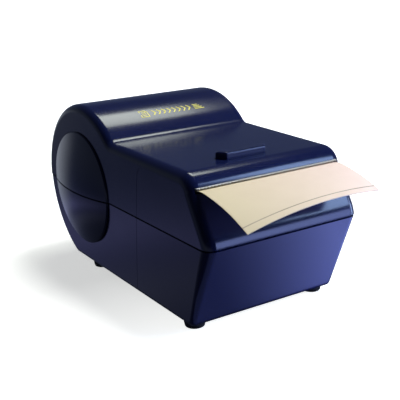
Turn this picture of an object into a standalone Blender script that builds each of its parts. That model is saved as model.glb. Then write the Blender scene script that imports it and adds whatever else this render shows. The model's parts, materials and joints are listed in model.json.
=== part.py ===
"""Motorised desk dispenser for a roll of 3 inch sticky notes.

Every length below is in millimetres; place() turns a finished mesh into metres.
While a piece is modelled, x is 0 in the middle of the width, y is 0 at the front of the
chin and grows to the rear, and z is 0 on the table.
"""
import math

import bmesh
import bpy
from mathutils import Matrix, Vector

MM = 0.001
GAP = 0.3

# Body, seen from the side: a drum over the roll, a level deck and a leaning front.
HALF_WIDTH = 42.0
DRUM_Y, DRUM_Z, DRUM_R = 119.9, 43.7, 45.2
LOW_DRUM_R = 44.4
BOTTOM_Z = 3.0
SEAM_Z = 43.6
DECK_Z = 74.6
CREASE_R = 6.5
NOSE_Y, NOSE_Z, NOSE_R = 21.0, 64.4, 9.6
CHIN = [(2.6, 51.2), (1.0, 48.4), (0.0, SEAM_Z)]
FRONT_LEAN = 0.42
TOE_R = 3.5
BASE_TAPER = 1.4
EDGE_R, LOW_EDGE_R, CORNER_R = 4.2, 2.5, 5.0
WALL = 2.0

# Round cheek on each side, with the spindle's pocket behind it.
CHEEK_Y, CHEEK_Z, CHEEK_R, CHEEK_BULGE = 120.2, 44.9, 29.8, 5.98
CHEEK_REAR_STRETCH = 1.12

# Roll of notes.
ROLL_Y, ROLL_Z, ROLL_R = 120.2, 44.5, 31.0
CORE_R, CORE_BORE = 14.0, 12.7
NOTE_HALF = 38.1
SPINDLE_R, SPINDLE_HALF = 4.0, 43.6
PAPER = 0.3

# Lid hinge, just behind the rear wall.
HINGE_Y, HINGE_Z = 165.2, 43.6
KNUCKLE_R, HINGE_PIN_R = 1.7, 0.8
LID_KNUCKLE, BASE_KNUCKLE = 8.0, 24.0
PIN_HALF, PIN_PLAY = 22.0, 0.15

# Feet.
FOOT_X, FOOT_FRONT_Y, FOOT_REAR_Y, FOOT_R = 34.2, 24.4, 118.0, 5.0

# Feed: drive roller below the paper, pinch roller above it.
DRIVE_Y, DRIVE_Z, DRIVE_R = 36.0, 52.3, 6.5
PINCH_Y, PINCH_Z, PINCH_R = 36.0, 64.4, 4.5
PLATE_X, PLATE_T = 28.6, 1.6
BATTERY_ROOF, BOX_WALL = 21.7, 1.2

# Gear train, from the drive roller to the motor.
MODULE = 0.5
DRIVE_TEETH, SMALL_TEETH, MIDDLE_TEETH, LARGE_TEETH, PINION_TEETH = 22, 12, 36, 40, 10
TO_GEAR_B, TO_GEAR_A, TO_MOTOR = -60.0, -50.0, -15.0
AXLE_R = 1.0

# Cells.
CELL_R, CELL_LENGTH, CELL_PITCH, CELL_Y, CELL_Z = 7.25, 50.5, 15.2, 29.7, 13.0
CONTACT_X = 28.1

# Battery door in the floor.
DOOR_HALF, DOOR_FRONT, DOOR_REAR = 28.3, 22.3, 82.7

# Push button on the deck.
BUTTON_X, BUTTON_Y = -3.2, 28.0
BUTTON_HALF_X, BUTTON_HALF_Y, BUTTON_PLAY = 10.8, 2.8, 0.4
BUTTON_FLARE = 3.6
FLANGE_EDGE, FLANGE_T = 1.2, 0.9
BUTTON_TOP = 77.4
FLANGE_Z = 70.85

# Paper strip's path from the nip through the slot, as (y, z).
STRIP = [(34.4, 59.2), (30, 60.5), (24, 62.9), (18, 65.6), (14, 66.6), (11.5, 67.1), (9, 67.3),
         (4, 66.9), (-4, 65.9), (-11, 64.6), (-17, 63.0), (-23.2, 61.0)]
STRIP_SKEW = 7.0
STRIP_DROOP = 3.2
STRIP_FREE = 0.43
SLOT = [(5, 65.9), (14, 65.9), (20, 63.6), (20, 67.2), (15, 68.5), (5, 68.5)]
SLOT_HALF = 39.2
BLADE_HALF, BLADE_FRONT, BLADE_REAR = 38.6, 11.0, 14.8
BLADE_LOW, BLADE_HIGH = 67.7, 68.2

# The tip of the paper and the hinge are equally far from the middle.
MIDDLE_Y = (STRIP[-1][0] + HINGE_Y + KNUCKLE_R) / 2

NAVY = (0.022, 0.026, 0.075)
BLACK = (0.012, 0.012, 0.014)
WHITE = (0.78, 0.76, 0.70)
STEEL = (0.62, 0.62, 0.64)
CREAM = (0.86, 0.70, 0.52)


# ---------------------------------------------------------------- materials and objects
def make_material(name, colour, roughness=0.5, metallic=0.0):
    """Make a plain Principled material."""
    material = bpy.data.materials.new(name)
    material.use_nodes = True
    shader = material.node_tree.nodes["Principled BSDF"]
    shader.inputs["Base Color"].default_value = (*colour, 1)
    shader.inputs["Roughness"].default_value = roughness
    shader.inputs["Metallic"].default_value = metallic
    return material


def place(name, bm, look, origin=(0, 0, 0)):
    """Turn a mesh in millimetres into an object in metres with its origin at a given point."""
    colour, roughness, metallic = look
    bmesh.ops.recalc_face_normals(bm, faces=bm.faces)
    bmesh.ops.translate(bm, vec=-Vector(origin), verts=bm.verts)
    bmesh.ops.scale(bm, vec=(MM, MM, MM), verts=bm.verts)
    mesh = bpy.data.meshes.new(name)
    bm.to_mesh(mesh)
    bm.free()
    mesh.shade_smooth()
    mesh.set_sharp_from_angle(angle=math.radians(35))
    obj = bpy.data.objects.new(name, mesh)
    bpy.context.scene.collection.objects.link(obj)
    obj.location = (Vector(origin) - Vector((0, MIDDLE_Y, 0))) * MM
    if colour:
        mesh.materials.append(make_material(name, colour, roughness, metallic))
    return obj


def guide(name, bm):
    """Make a cutter, or a shape that only serves to be added to another."""
    obj = place(name, bm, (None, 0, 0))
    obj.hide_render = True
    obj.display_type = "WIRE"
    return obj


def combine(obj, operation, other):
    """Add one Boolean step to an object."""
    step = obj.modifiers.new(other.name, "BOOLEAN")
    step.operation = operation
    step.solver = "EXACT"
    step.object = other


def cut(obj, *cutters):
    for cutter in cutters:
        combine(obj, "DIFFERENCE", cutter)


def join(obj, *others):
    for other in others:
        combine(obj, "UNION", other)


def plastic(colour, roughness=0.45):
    return (colour, roughness, 0.0)


def metal(colour=STEEL, roughness=0.3):
    return (colour, roughness, 1.0)


# ---------------------------------------------------------------- shapes
def arc(centre_y, centre_z, radius, start, end, steps):
    """Points on an arc in the side view, angles in degrees from the rear towards the top."""
    points = []
    for i in range(steps + 1):
        angle = math.radians(start + (end - start) * i / steps)
        points.append((centre_y + radius * math.cos(angle), centre_z + radius * math.sin(angle)))
    return points


def box(low, high):
    """A box between two corners."""
    bm = bmesh.new()
    bmesh.ops.create_cube(bm, size=1)
    size = Vector(high) - Vector(low)
    bmesh.ops.scale(bm, vec=size, verts=bm.verts)
    bmesh.ops.translate(bm, vec=(Vector(low) + Vector(high)) / 2, verts=bm.verts)
    return bm


def loft(rings):
    """Join equal closed rings of points in order and cap both ends."""
    bm = bmesh.new()
    loops = [[bm.verts.new(point) for point in ring] for ring in rings]
    count = len(rings[0])
    for first, second in zip(loops, loops[1:]):
        for i in range(count):
            j = (i + 1) % count
            bm.faces.new((first[i], first[j], second[j], second[i]))
    bm.faces.new(loops[0])
    bm.faces.new(loops[-1])
    return bm


def prism(outline, low_x, high_x):
    """Extrude a side-view outline across the width."""
    return loft([[(x, y, z) for y, z in outline] for x in (low_x, high_x)])


def rod(centre, radius, low_x, high_x, sides=16):
    """A round bar along X at a (y, z) centre."""
    return prism(arc(*centre, radius, 0, 360 - 360 / sides, sides - 1), low_x, high_x)


def turned(centre, profile, sides=24):
    """Turn an open profile of (x, radius) about the X axis at a (y, z) centre, capped at its ends."""
    rings = []
    for x, radius in profile:
        ring = arc(*centre, radius, 0, 360 - 360 / sides, sides - 1)
        rings.append([(x, y, z) for y, z in ring])
    return loft(rings)


def sleeve(centre, outer, inner, low_x, high_x, sides=24):
    """A tube along X at a (y, z) centre."""
    bm = bmesh.new()
    corners = ((low_x, outer), (high_x, outer), (high_x, inner), (low_x, inner))
    loops = []
    for x, radius in corners:
        ring = arc(*centre, radius, 0, 360 - 360 / sides, sides - 1)
        loops.append([bm.verts.new((x, y, z)) for y, z in ring])
    for k in range(4):
        first, second = loops[k], loops[(k + 1) % 4]
        for i in range(sides):
            j = (i + 1) % sides
            bm.faces.new((first[i], first[j], second[j], second[i]))
    return bm


def gear_outline(centre, teeth, phase):
    """Side view of a spur gear with plain tapered teeth, one of them at the phase angle."""
    pitch_r = MODULE * teeth / 2
    pitch = 360 / teeth
    tip, root = pitch_r + 0.8 * MODULE, pitch_r - 1.2 * MODULE
    shape = ((-0.29, root), (-0.10, tip), (0.10, tip), (0.29, root))
    outline = []
    for tooth in range(teeth):
        for share, radius in shape:
            angle = math.radians(phase + (tooth + share) * pitch)
            outline.append((centre[0] + radius * math.cos(angle),
                            centre[1] + radius * math.sin(angle)))
    return outline


def mesh_phase(phase, teeth, other_teeth, direction):
    """Phase that puts a gap of the other gear opposite a tooth of this one."""
    turns = (direction - phase) * teeth / 360
    return direction + 180 - (0.5 - turns) * 360 / other_teeth


def meshed_centre(centre, teeth, other_teeth, direction):
    """Centre of a gear that meshes with another one in a given direction."""
    distance = MODULE * (teeth + other_teeth) / 2
    angle = math.radians(direction)
    return (centre[0] + distance * math.cos(angle), centre[1] + distance * math.sin(angle))


def coil(start_x, end_x, centre, start_r, end_r, wire, turns, per_turn=10, sides=5):
    """A round wire wound about the X axis."""
    steps = int(turns * per_turn)
    rings = []
    for i in range(steps + 1):
        share = i / steps
        angle = 2 * math.pi * turns * share
        radius = start_r + (end_r - start_r) * share
        x = start_x + (end_x - start_x) * share
        out = Vector((0, math.cos(angle), math.sin(angle)))
        middle = Vector((x, *centre)) + out * radius
        ring = []
        for k in range(sides):
            turn = 2 * math.pi * k / sides
            ring.append(middle + wire * (out * math.cos(turn) + Vector((math.sin(turn), 0, 0))))
        rings.append(ring)
    return loft(rings)


# ---------------------------------------------------------------- body shells
def edge_radius(z):
    """Radius of the long side edges: full above the seam, smaller towards the bottom."""
    share = min(1.0, (z - BOTTOM_Z) / (SEAM_Z - BOTTOM_Z))
    return LOW_EDGE_R + (EDGE_R - LOW_EDGE_R) * share


def body_outline(drum_r):
    """Side view of the body as (y, z, edge radius), anticlockwise from the bottom of the drum."""
    low = -math.degrees(math.asin((DRUM_Z - BOTTOM_Z) / drum_r))
    rise = DECK_Z + CREASE_R - DRUM_Z
    reach = math.sqrt((drum_r + CREASE_R) ** 2 - rise ** 2)
    crease = 180 - math.degrees(math.atan2(rise, reach))
    lean = math.degrees(math.atan(FRONT_LEAN))
    toe_z = BOTTOM_Z + TOE_R
    toe_y = FRONT_LEAN * (SEAM_Z - toe_z) + TOE_R / math.cos(math.radians(lean))
    seam = -math.degrees(math.asin((DRUM_Z - SEAM_Z) / drum_r))
    rear = arc(DRUM_Y, DRUM_Z, drum_r, low, seam, 8)
    rear += arc(DRUM_Y, DRUM_Z, drum_r, seam, crease, 18)[1:]
    rear += arc(DRUM_Y - reach, DECK_Z + CREASE_R, CREASE_R, crease - 180, -90, 3)[1:]
    front = arc(NOSE_Y, NOSE_Z, NOSE_R, 90, 165, 6) + CHIN
    toe = arc(toe_y, toe_z, TOE_R, 180 + lean, 270, 3)
    outline = [(y, z, edge_radius(z)) for y, z in rear]
    outline += [(y, z, CORNER_R) for y, z in front]
    outline += [(y, z, LOW_EDGE_R) for y, z in toe]
    return outline


def inset(outline, depths):
    """Move each corner of an anticlockwise outline inwards by its own depth."""
    count = len(outline)
    moved = []
    for i in range(count):
        here = Vector(outline[i][:2])
        before = (here - Vector(outline[i - 1][:2])).normalized()
        after = (Vector(outline[(i + 1) % count][:2]) - here).normalized()
        normal = Vector((-before.y, before.x))
        middle = (normal + Vector((-after.y, after.x))).normalized()
        moved.append(here + middle * depths[i] / middle.dot(normal))
    return moved


def body_solid(drum_r, wall, steps):
    """The body as one rounded solid, moved inwards by the wall's thickness."""
    outline = body_outline(drum_r)
    shape = inset(outline, [wall] * len(outline))
    radii = [max(point[2] - wall, 0.5) for point in outline]
    half = HALF_WIDTH - wall
    rings = []
    for step in range(steps + 1):
        angle = math.pi / 2 * step / steps
        edge = inset(shape, [radius * (1 - math.cos(angle)) for radius in radii])
        ring = []
        for (y, z), radius in zip(edge, radii):
            x = half - radius * (1 - math.sin(angle))
            below = max(0.0, SEAM_Z - z) / (SEAM_Z - BOTTOM_Z)
            ring.append((x - BASE_TAPER * below, y, z))
        rings.append(ring)
    left = [[(-x, y, z) for x, y, z in ring] for ring in reversed(rings)]
    solid = loft(left + rings)
    fold_sides(solid)
    return solid


def fold_sides(solid):
    """Split the two flat sides along the seam, where the lower half starts to taper."""
    solid.faces.ensure_lookup_table()
    for side in solid.faces[-2:]:
        at_seam = sorted(side.verts, key=lambda vert: abs(vert.co.z - SEAM_Z))[:2]
        bmesh.utils.face_split(side, at_seam[0], at_seam[1])


def cheek(side):
    """Round cheek that bulges from one side of the body, a little longer to the rear."""
    sphere = (CHEEK_R ** 2 + CHEEK_BULGE ** 2) / (2 * CHEEK_BULGE)
    profile = [(side * (HALF_WIDTH - 2.5), CHEEK_R)]
    for share in (1.0, 0.8, 0.55, 0.25):
        radius = CHEEK_R * share
        rise = CHEEK_BULGE - sphere + math.sqrt(sphere ** 2 - radius ** 2)
        profile.append((side * (HALF_WIDTH + rise), radius))
    bm = turned((CHEEK_Y, CHEEK_Z), profile, 28)
    for vert in bm.verts:
        if vert.co.y > CHEEK_Y:
            vert.co.y = CHEEK_Y + (vert.co.y - CHEEK_Y) * CHEEK_REAR_STRETCH
    return bm


def half_space(upper):
    """Block that takes away everything on one side of the seam."""
    if upper:
        return box((-60, -10, SEAM_Z - GAP / 2), (60, 180, 100))
    return box((-60, -10, -10), (60, 180, SEAM_Z + GAP / 2))


def hinge_rod(radius, low, high):
    return rod((HINGE_Y, HINGE_Z), radius, low, high, 12)


def bar_outline(grow):
    """Plan of the push bar, which flares to the rear, moved outwards by some distance."""
    flare = math.atan(BUTTON_FLARE / (2 * BUTTON_HALF_Y))
    side = grow / math.cos(flare)
    lean = grow * math.tan(flare)
    front = BUTTON_HALF_X + side - lean
    rear = BUTTON_HALF_X + BUTTON_FLARE + side + lean
    half_y = BUTTON_HALF_Y + grow
    corners = ((-front, -half_y), (front, -half_y), (rear, half_y), (-rear, half_y))
    return [(BUTTON_X + x, BUTTON_Y + y) for x, y in corners]


def make_lid():
    """Upper shell with the paper slot, the button's opening and the middle hinge knuckle."""
    lid = place("lid_shell", body_solid(DRUM_R, 0, 3), plastic(NAVY, 0.35))
    join(lid, guide("cheek_left_up", cheek(-1)), guide("cheek_right_up", cheek(1)))
    cut(lid, guide("below_seam", half_space(False)))
    cut(lid, guide("lid_cavity", body_solid(DRUM_R, WALL, 1)))
    cut(lid, guide("slot_cutter", prism(SLOT[::-1], -SLOT_HALF, SLOT_HALF)))
    rings = [[(x, y, z) for x, y in bar_outline(BUTTON_PLAY)] for z in (DECK_Z - 8, DECK_Z + 5)]
    cut(lid, guide("button_opening", loft(rings)))
    pocket = SPINDLE_HALF + 0.9
    cut(lid, guide("lid_spindle_pocket", rod((ROLL_Y, ROLL_Z), SPINDLE_R + 2, -pocket, pocket)))
    for side in (-1, 1):
        low, high = sorted((side * (LID_KNUCKLE - 0.1), side * (BASE_KNUCKLE + 0.4)))
        cut(lid, guide(f"lid_notch_{high:.0f}", hinge_rod(KNUCKLE_R + 0.4, low, high)))
    join(lid, guide("lid_knuckle", hinge_rod(KNUCKLE_R, -LID_KNUCKLE, LID_KNUCKLE)))
    cut(lid, guide("lid_pin_hole", hinge_rod(HINGE_PIN_R + PIN_PLAY, -LID_KNUCKLE - 4, LID_KNUCKLE + 4)))
    return lid


def make_base():
    """Lower shell with the battery opening, spindle saddles and the outer hinge knuckles."""
    base = place("base_shell", body_solid(LOW_DRUM_R, 0, 3), plastic(NAVY, 0.38))
    join(base, guide("cheek_left_low", cheek(-1)), guide("cheek_right_low", cheek(1)))
    cut(base, guide("above_seam", half_space(True)))
    cut(base, guide("base_cavity", body_solid(LOW_DRUM_R, WALL, 1)))
    saddle = SPINDLE_HALF + 2 * GAP
    cut(base, guide("saddle", rod((ROLL_Y, ROLL_Z), SPINDLE_R + GAP, -saddle, saddle)))
    opening_low = (-DOOR_HALF - GAP, DOOR_FRONT - GAP, 0)
    opening_high = (DOOR_HALF + GAP, DOOR_REAR + GAP, BOTTOM_Z + WALL + 1)
    cut(base, guide("door_opening", box(opening_low, opening_high)))
    middle = LID_KNUCKLE + 0.3
    cut(base, guide("base_notch", hinge_rod(KNUCKLE_R + 0.4, -middle, middle)))
    for side in (-1, 1):
        low, high = sorted((side * (middle + 0.1), side * BASE_KNUCKLE))
        join(base, guide(f"base_knuckle_{high:.0f}", hinge_rod(KNUCKLE_R, low, high)))
    hole = PIN_HALF + 0.5
    cut(base, guide("base_pin_hole", hinge_rod(HINGE_PIN_R + PIN_PLAY, -hole, hole)))
    return base


def make_body():
    make_lid()
    make_base()
    pin = hinge_rod(HINGE_PIN_R, -PIN_HALF, PIN_HALF)
    place("hinge_pin", pin, metal(), (0, HINGE_Y, HINGE_Z))
    for side_name, x in (("left", -FOOT_X), ("right", FOOT_X)):
        for end_name, y in (("front", FOOT_FRONT_Y), ("rear", FOOT_REAR_Y)):
            foot = bmesh.new()
            bmesh.ops.create_cone(foot, cap_ends=True, segments=20, radius1=FOOT_R - 0.4, radius2=FOOT_R,
                                  depth=BOTTOM_Z - GAP)
            bmesh.ops.translate(foot, vec=(x, y, (BOTTOM_Z - GAP) / 2), verts=foot.verts)
            place(f"foot_{end_name}_{side_name}", foot, plastic(BLACK, 0.8))


# ---------------------------------------------------------------- roll and paper
def make_roll():
    centre = (ROLL_Y, ROLL_Z)
    pivot = (0, ROLL_Y, ROLL_Z)
    paper = sleeve(centre, ROLL_R, CORE_R + GAP, -NOTE_HALF, NOTE_HALF, 36)
    place("note_roll", paper, plastic(CREAM, 0.85), pivot)
    core = sleeve(centre, CORE_R, CORE_BORE, -NOTE_HALF, NOTE_HALF)
    place("roll_core", core, plastic((0.35, 0.24, 0.15), 0.9), pivot)
    spindle = rod(centre, SPINDLE_R, -SPINDLE_HALF, SPINDLE_HALF)
    place("roll_spindle", spindle, plastic(WHITE, 0.4), pivot)
    for name, side in (("left", -1), ("right", 1)):
        low, high = sorted((side * 24.0, side * 38.0))
        hub = sleeve(centre, CORE_BORE - GAP, SPINDLE_R + GAP, low, high, 20)
        place(f"roll_hub_{name}", hub, plastic(WHITE, 0.4), pivot)


def along(path, distance):
    """Point at a distance along a path of (y, z) points."""
    for first, second in zip(path, path[1:]):
        step = Vector(second) - Vector(first)
        if distance <= step.length or second == path[-1]:
            return Vector(first) + step * distance / step.length
        distance -= step.length
    return Vector(path[-1])


def paper_sheet(path, skew, droop, steps, columns):
    """A sheet of the notes' width along a path, with a slanted end that droops at its corners."""
    length = sum((Vector(b) - Vector(a)).length for a, b in zip(path, path[1:]))
    bm = bmesh.new()
    layers = []
    for lift in (-PAPER / 2, PAPER / 2):
        rows = []
        for i in range(steps + 1):
            row = []
            for k in range(columns + 1):
                across = 2 * k / columns - 1
                reach = (length - skew * (across + 1) / 2) * i / steps
                y, z = along(path, reach)
                fall = droop * across ** 2 * max(0.0, (i / steps - STRIP_FREE) / (1 - STRIP_FREE)) ** 1.5
                row.append(bm.verts.new((across * NOTE_HALF, y, z - fall + lift)))
            rows.append(row)
        layers.append(rows)
    for rows in layers:
        for a, b in zip(rows, rows[1:]):
            for k in range(columns):
                bm.faces.new((a[k], a[k + 1], b[k + 1], b[k]))
    rims = []
    for rows in layers:
        first, last = rows[0], rows[-1]
        right = [row[-1] for row in rows]
        left = [row[0] for row in rows]
        rims.append(first + right[1:] + last[-2::-1] + left[-2:0:-1])
    for k in range(len(rims[0])):
        j = (k + 1) % len(rims[0])
        bm.faces.new((rims[0][k], rims[0][j], rims[1][j], rims[1][k]))
    return bm


def web_path():
    """Straight run of paper from the top of the roll to the top of the drive roller."""
    drive_r = DRIVE_R + GAP + PAPER / 2
    roll_r = ROLL_R + GAP + PAPER / 2
    apart = Vector((ROLL_Y - DRIVE_Y, ROLL_Z - DRIVE_Z))
    lean = math.asin((roll_r - drive_r) / apart.length) + math.atan2(apart.y, apart.x)
    normal = Vector((-math.sin(lean), math.cos(lean)))
    start = Vector((ROLL_Y, ROLL_Z)) + normal * roll_r
    end = Vector((DRIVE_Y, DRIVE_Z)) + normal * drive_r
    end += (start - end) * 0.006
    return [tuple(start), tuple(end)]


def make_paper():
    paper = plastic(CREAM, 0.85)
    place("note_web", paper_sheet(web_path(), 0, 0, 2, 1), paper)
    strip = paper_sheet(STRIP, STRIP_SKEW, STRIP_DROOP, 16, 6)
    place("note_strip", strip, paper)


def make_blade():
    """Serrated strip under the lip of the lid."""
    teeth, depth = 26, 1.2
    outline = [(BLADE_HALF, BLADE_REAR), (-BLADE_HALF, BLADE_REAR)]
    for i in range(2 * teeth + 1):
        x = -BLADE_HALF + i * BLADE_HALF / teeth
        outline.append((x, BLADE_FRONT + (depth if i % 2 == 0 else 0.0)))
    rings = [[(x, y, z) for x, y in outline] for z in (BLADE_LOW, BLADE_HIGH)]
    place("tear_blade", loft(rings), plastic(WHITE, 0.35))


# ---------------------------------------------------------------- button and switch
def make_button():
    """Push bar in the deck, with the small switch that it works."""
    chamfer = 0.6
    sizes = ((FLANGE_Z, FLANGE_EDGE), (FLANGE_Z + FLANGE_T, FLANGE_EDGE), (FLANGE_Z + FLANGE_T, 0),
             (BUTTON_TOP - chamfer, 0), (BUTTON_TOP, -chamfer))
    rings = []
    for z, grow in sizes:
        rings.append([(x, y, z) for x, y in bar_outline(grow)])
    place("button_cap", loft(rings), plastic(NAVY, 0.4), (BUTTON_X, BUTTON_Y, FLANGE_Z))
    switch = box((BUTTON_X - 3, BUTTON_Y - 3, 68.4), (BUTTON_X + 3, BUTTON_Y + 3, 69.7))
    body = place("switch_body", switch, plastic(BLACK, 0.5))
    well = bmesh.new()
    spot = Matrix.Translation((BUTTON_X, BUTTON_Y, 70))
    bmesh.ops.create_cone(well, cap_ends=True, segments=14, radius1=2, radius2=2, depth=2.8,
                          matrix=spot)
    cut(body, guide("switch_well", well))
    plunger = bmesh.new()
    spot = Matrix.Translation((BUTTON_X, BUTTON_Y, 70.075))
    bmesh.ops.create_cone(plunger, cap_ends=True, segments=14, radius1=1.6, radius2=1.6,
                          depth=0.95, matrix=spot)
    place("switch_plunger", plunger, plastic((0.6, 0.05, 0.04)), (BUTTON_X, BUTTON_Y, 69.6))
    board = box((BUTTON_X - 14, BUTTON_Y - 4, 66.9), (BUTTON_X + 14, BUTTON_Y + 4, 68.1))
    place("switch_board", board, plastic((0.02, 0.16, 0.07)))


def make_pinch():
    """Spring-loaded roller in the lid that presses the paper on the drive roller."""
    foot, leg, top, under = 15.6, 13.2, 71.8, 70.6
    low = PINCH_Z - 2.6
    outline = [(-foot, low), (-leg, low), (-leg, under), (leg, under), (leg, low), (foot, low),
               (foot, top), (-foot, top)]
    rings = [[(x, y, z) for x, z in outline] for y in (PINCH_Y - 3.5, PINCH_Y + 3.5)]
    bracket = place("pinch_bracket", loft(rings), metal(STEEL, 0.35))
    cut(bracket, guide("pinch_holes", rod((PINCH_Y, PINCH_Z), 1.5, -20, 20, 12)))
    pivot = (0, PINCH_Y, PINCH_Z)
    shaft = rod((PINCH_Y, PINCH_Z), 1.2, -16.4, 16.4, 12)
    place("pinch_shaft", shaft, metal(), pivot)
    roller = sleeve((PINCH_Y, PINCH_Z), PINCH_R, 1.5, -12.6, 12.6, 20)
    place("pinch_roller", roller, plastic(BLACK, 0.9), pivot)


# ---------------------------------------------------------------- drive
def make_plates():
    """Two upright plates on the battery box that carry the drive."""
    floor = BATTERY_ROOF + GAP
    right = [(31, 57), (31, 44), (40, floor), (73, floor), (73, 42), (56, 45), (41, 57)]
    left = [(31, 57), (31, 44), (34, floor), (46, floor), (46, 40), (41, 57)]
    plate = place("feed_plate_right", prism(right, PLATE_X, PLATE_X + PLATE_T), metal(STEEL, 0.4))
    other = place("feed_plate_left", prism(left, -PLATE_X - PLATE_T, -PLATE_X), metal(STEEL, 0.4))
    bush_hole = guide("bush_holes", rod((DRIVE_Y, DRIVE_Z), 3.0, -40, 40))
    cut(plate, bush_hole)
    cut(other, bush_hole)
    for name, centre, radius in (("a", GEAR_A, 1.3), ("b", GEAR_B, 1.3), ("motor", MOTOR, 3.2)):
        cut(plate, guide(f"plate_hole_{name}", rod(centre, radius, 20, 35, 12)))
    bar = box((-28.3, 40.5, floor + 1), (28.3, 42.5, floor + 11))
    place("feed_crossbar", bar, metal(STEEL, 0.4))
    for name, side in (("left", -1), ("right", 1)):
        low, high = sorted((side * (PLATE_X - 0.6), side * (PLATE_X + PLATE_T + 0.4)))
        bush = sleeve((DRIVE_Y, DRIVE_Z), 2.7, 1.8, low, high, 16)
        place(f"shaft_bush_{name}", bush, metal((0.55, 0.38, 0.15)))


def make_drive_roller():
    centre = (DRIVE_Y, DRIVE_Z)
    pivot = (0, DRIVE_Y, DRIVE_Z)
    place("drive_shaft", rod(centre, 1.5, -31.5, 34.2, 14), metal(), pivot)
    rubber = sleeve(centre, DRIVE_R, 1.8, -27.4, 27.4)
    place("drive_roller", rubber, plastic(BLACK, 0.9), pivot)
    gear = place("drive_gear", prism(gear_outline(centre, DRIVE_TEETH, 0), 31, 34),
                 plastic(WHITE), pivot)
    cut(gear, guide("drive_gear_bore", rod(centre, 1.8, 25, 40, 14)))


GEAR_B = meshed_centre((DRIVE_Y, DRIVE_Z), DRIVE_TEETH, SMALL_TEETH, TO_GEAR_B)
GEAR_A = meshed_centre(GEAR_B, MIDDLE_TEETH, SMALL_TEETH, TO_GEAR_A)
MOTOR = meshed_centre(GEAR_A, LARGE_TEETH, PINION_TEETH, TO_MOTOR)


def compound(name, centre, large, small, large_x, small_x):
    """Two gears moulded in one piece, each given as (teeth, phase)."""
    wheel = prism(gear_outline(centre, *large), *large_x)
    gear = place(name, wheel, plastic(WHITE), (0, *centre))
    join(gear, guide(name + "_small", prism(gear_outline(centre, *small), *small_x)))
    cut(gear, guide(name + "_bore", rod(centre, AXLE_R + GAP, 25, 45, 12)))
    place(name + "_axle", rod(centre, AXLE_R, 28.0, 38.6, 10), metal())


def make_gears():
    """Reduction gears on fixed axles outside the right plate, in mesh at rest."""
    phase_b = mesh_phase(0, DRIVE_TEETH, SMALL_TEETH, TO_GEAR_B)
    phase_a = mesh_phase(phase_b, MIDDLE_TEETH, SMALL_TEETH, TO_GEAR_A)
    phase_motor = mesh_phase(phase_a, LARGE_TEETH, PINION_TEETH, TO_MOTOR)
    compound("second_gear", GEAR_B, (MIDDLE_TEETH, phase_b), (SMALL_TEETH, phase_b),
             (34.6, 36.4), (31.0, 34.7))
    compound("first_gear", GEAR_A, (LARGE_TEETH, phase_a), (SMALL_TEETH, phase_a),
             (36.8, 38.4), (34.4, 36.9))
    teeth = prism(gear_outline(MOTOR, PINION_TEETH, phase_motor), 36.6, 38.6)
    pinion = place("motor_pinion", teeth, metal((0.7, 0.5, 0.2)), (0, *MOTOR))
    cut(pinion, guide("pinion_bore", rod(MOTOR, AXLE_R + GAP, 30, 45, 10)))
    place("motor_shaft", rod(MOTOR, AXLE_R, 28.7, 38.7, 10), metal(), (0, *MOTOR))


def make_motor():
    """Small motor with flat sides behind the right plate."""
    flat = math.degrees(math.asin(0.75))
    outline = arc(*MOTOR, 10, -flat, flat, 6) + arc(*MOTOR, 10, 180 - flat, 180 + flat, 6)
    place("motor_case", prism(outline, 7.0, 28.3), metal(STEEL, 0.35))
    place("motor_end_cap", prism(outline, 3.3, 6.7), plastic(WHITE))
    for name, side in (("front", -1), ("rear", 1)):
        spot = (MOTOR[0] + side * 7, MOTOR[1])
        place(f"motor_screw_{name}", rod(spot, 1.6, 30.5, 31.6, 10), metal((0.2, 0.2, 0.22)))


# ---------------------------------------------------------------- power and wiring
def make_battery_box():
    """Open-bottomed box over four cells, with the door in the floor below."""
    low = (-30.0, 20.9, BOTTOM_Z + WALL + GAP)
    high = (30.0, 84.2, BATTERY_ROOF)
    shell = place("battery_box", box(low, high), plastic(BLACK))
    low = (low[0] + BOX_WALL, low[1] + BOX_WALL, 0)
    high = (high[0] - BOX_WALL, high[1] - BOX_WALL, BATTERY_ROOF - BOX_WALL)
    cut(shell, guide("battery_hollow", box(low, high)))
    door = box((-DOOR_HALF, DOOR_FRONT, BOTTOM_Z), (DOOR_HALF, DOOR_REAR, BOTTOM_Z + 1.8))
    place("battery_door", door, plastic(NAVY, 0.4), (0, (DOOR_FRONT + DOOR_REAR) / 2, BOTTOM_Z))
    for i in range(4):
        side = 1 if i % 2 else -1
        y = CELL_Y + i * CELL_PITCH
        tip = side * (CONTACT_X - GAP)
        shoulder = tip - side * 1.2
        tail = tip - side * CELL_LENGTH
        profile = [(tail, CELL_R), (shoulder, CELL_R), (shoulder, 2.7), (tip, 2.7)]
        cell = turned((y, CELL_Z), profile, 20)
        place(f"battery_{i + 1}", cell, plastic((0.05, 0.16, 0.10), 0.35))
        spring = coil(tail - side * 0.8, -side * (CONTACT_X - 0.7), (y, CELL_Z), 2.2, 4.4, 0.35, 3)
        place(f"battery_spring_{i + 1}", spring, metal())


def make_contacts():
    """Metal strips that join the cells in a row."""
    strips = (("contact_left_front", -1, 0, 1), ("contact_left_rear", -1, 2, 3),
              ("contact_right_front", 1, 0, 0), ("contact_right_middle", 1, 1, 2),
              ("contact_right_rear", 1, 3, 3))
    for name, side, first, last in strips:
        near = CELL_Y + first * CELL_PITCH - 5.5
        far = CELL_Y + last * CELL_PITCH + 5.5
        low, high = sorted((side * CONTACT_X, side * (CONTACT_X + 0.4)))
        place(name, box((low, near, 7.5), (high, far, 18.5)), metal())


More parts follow.
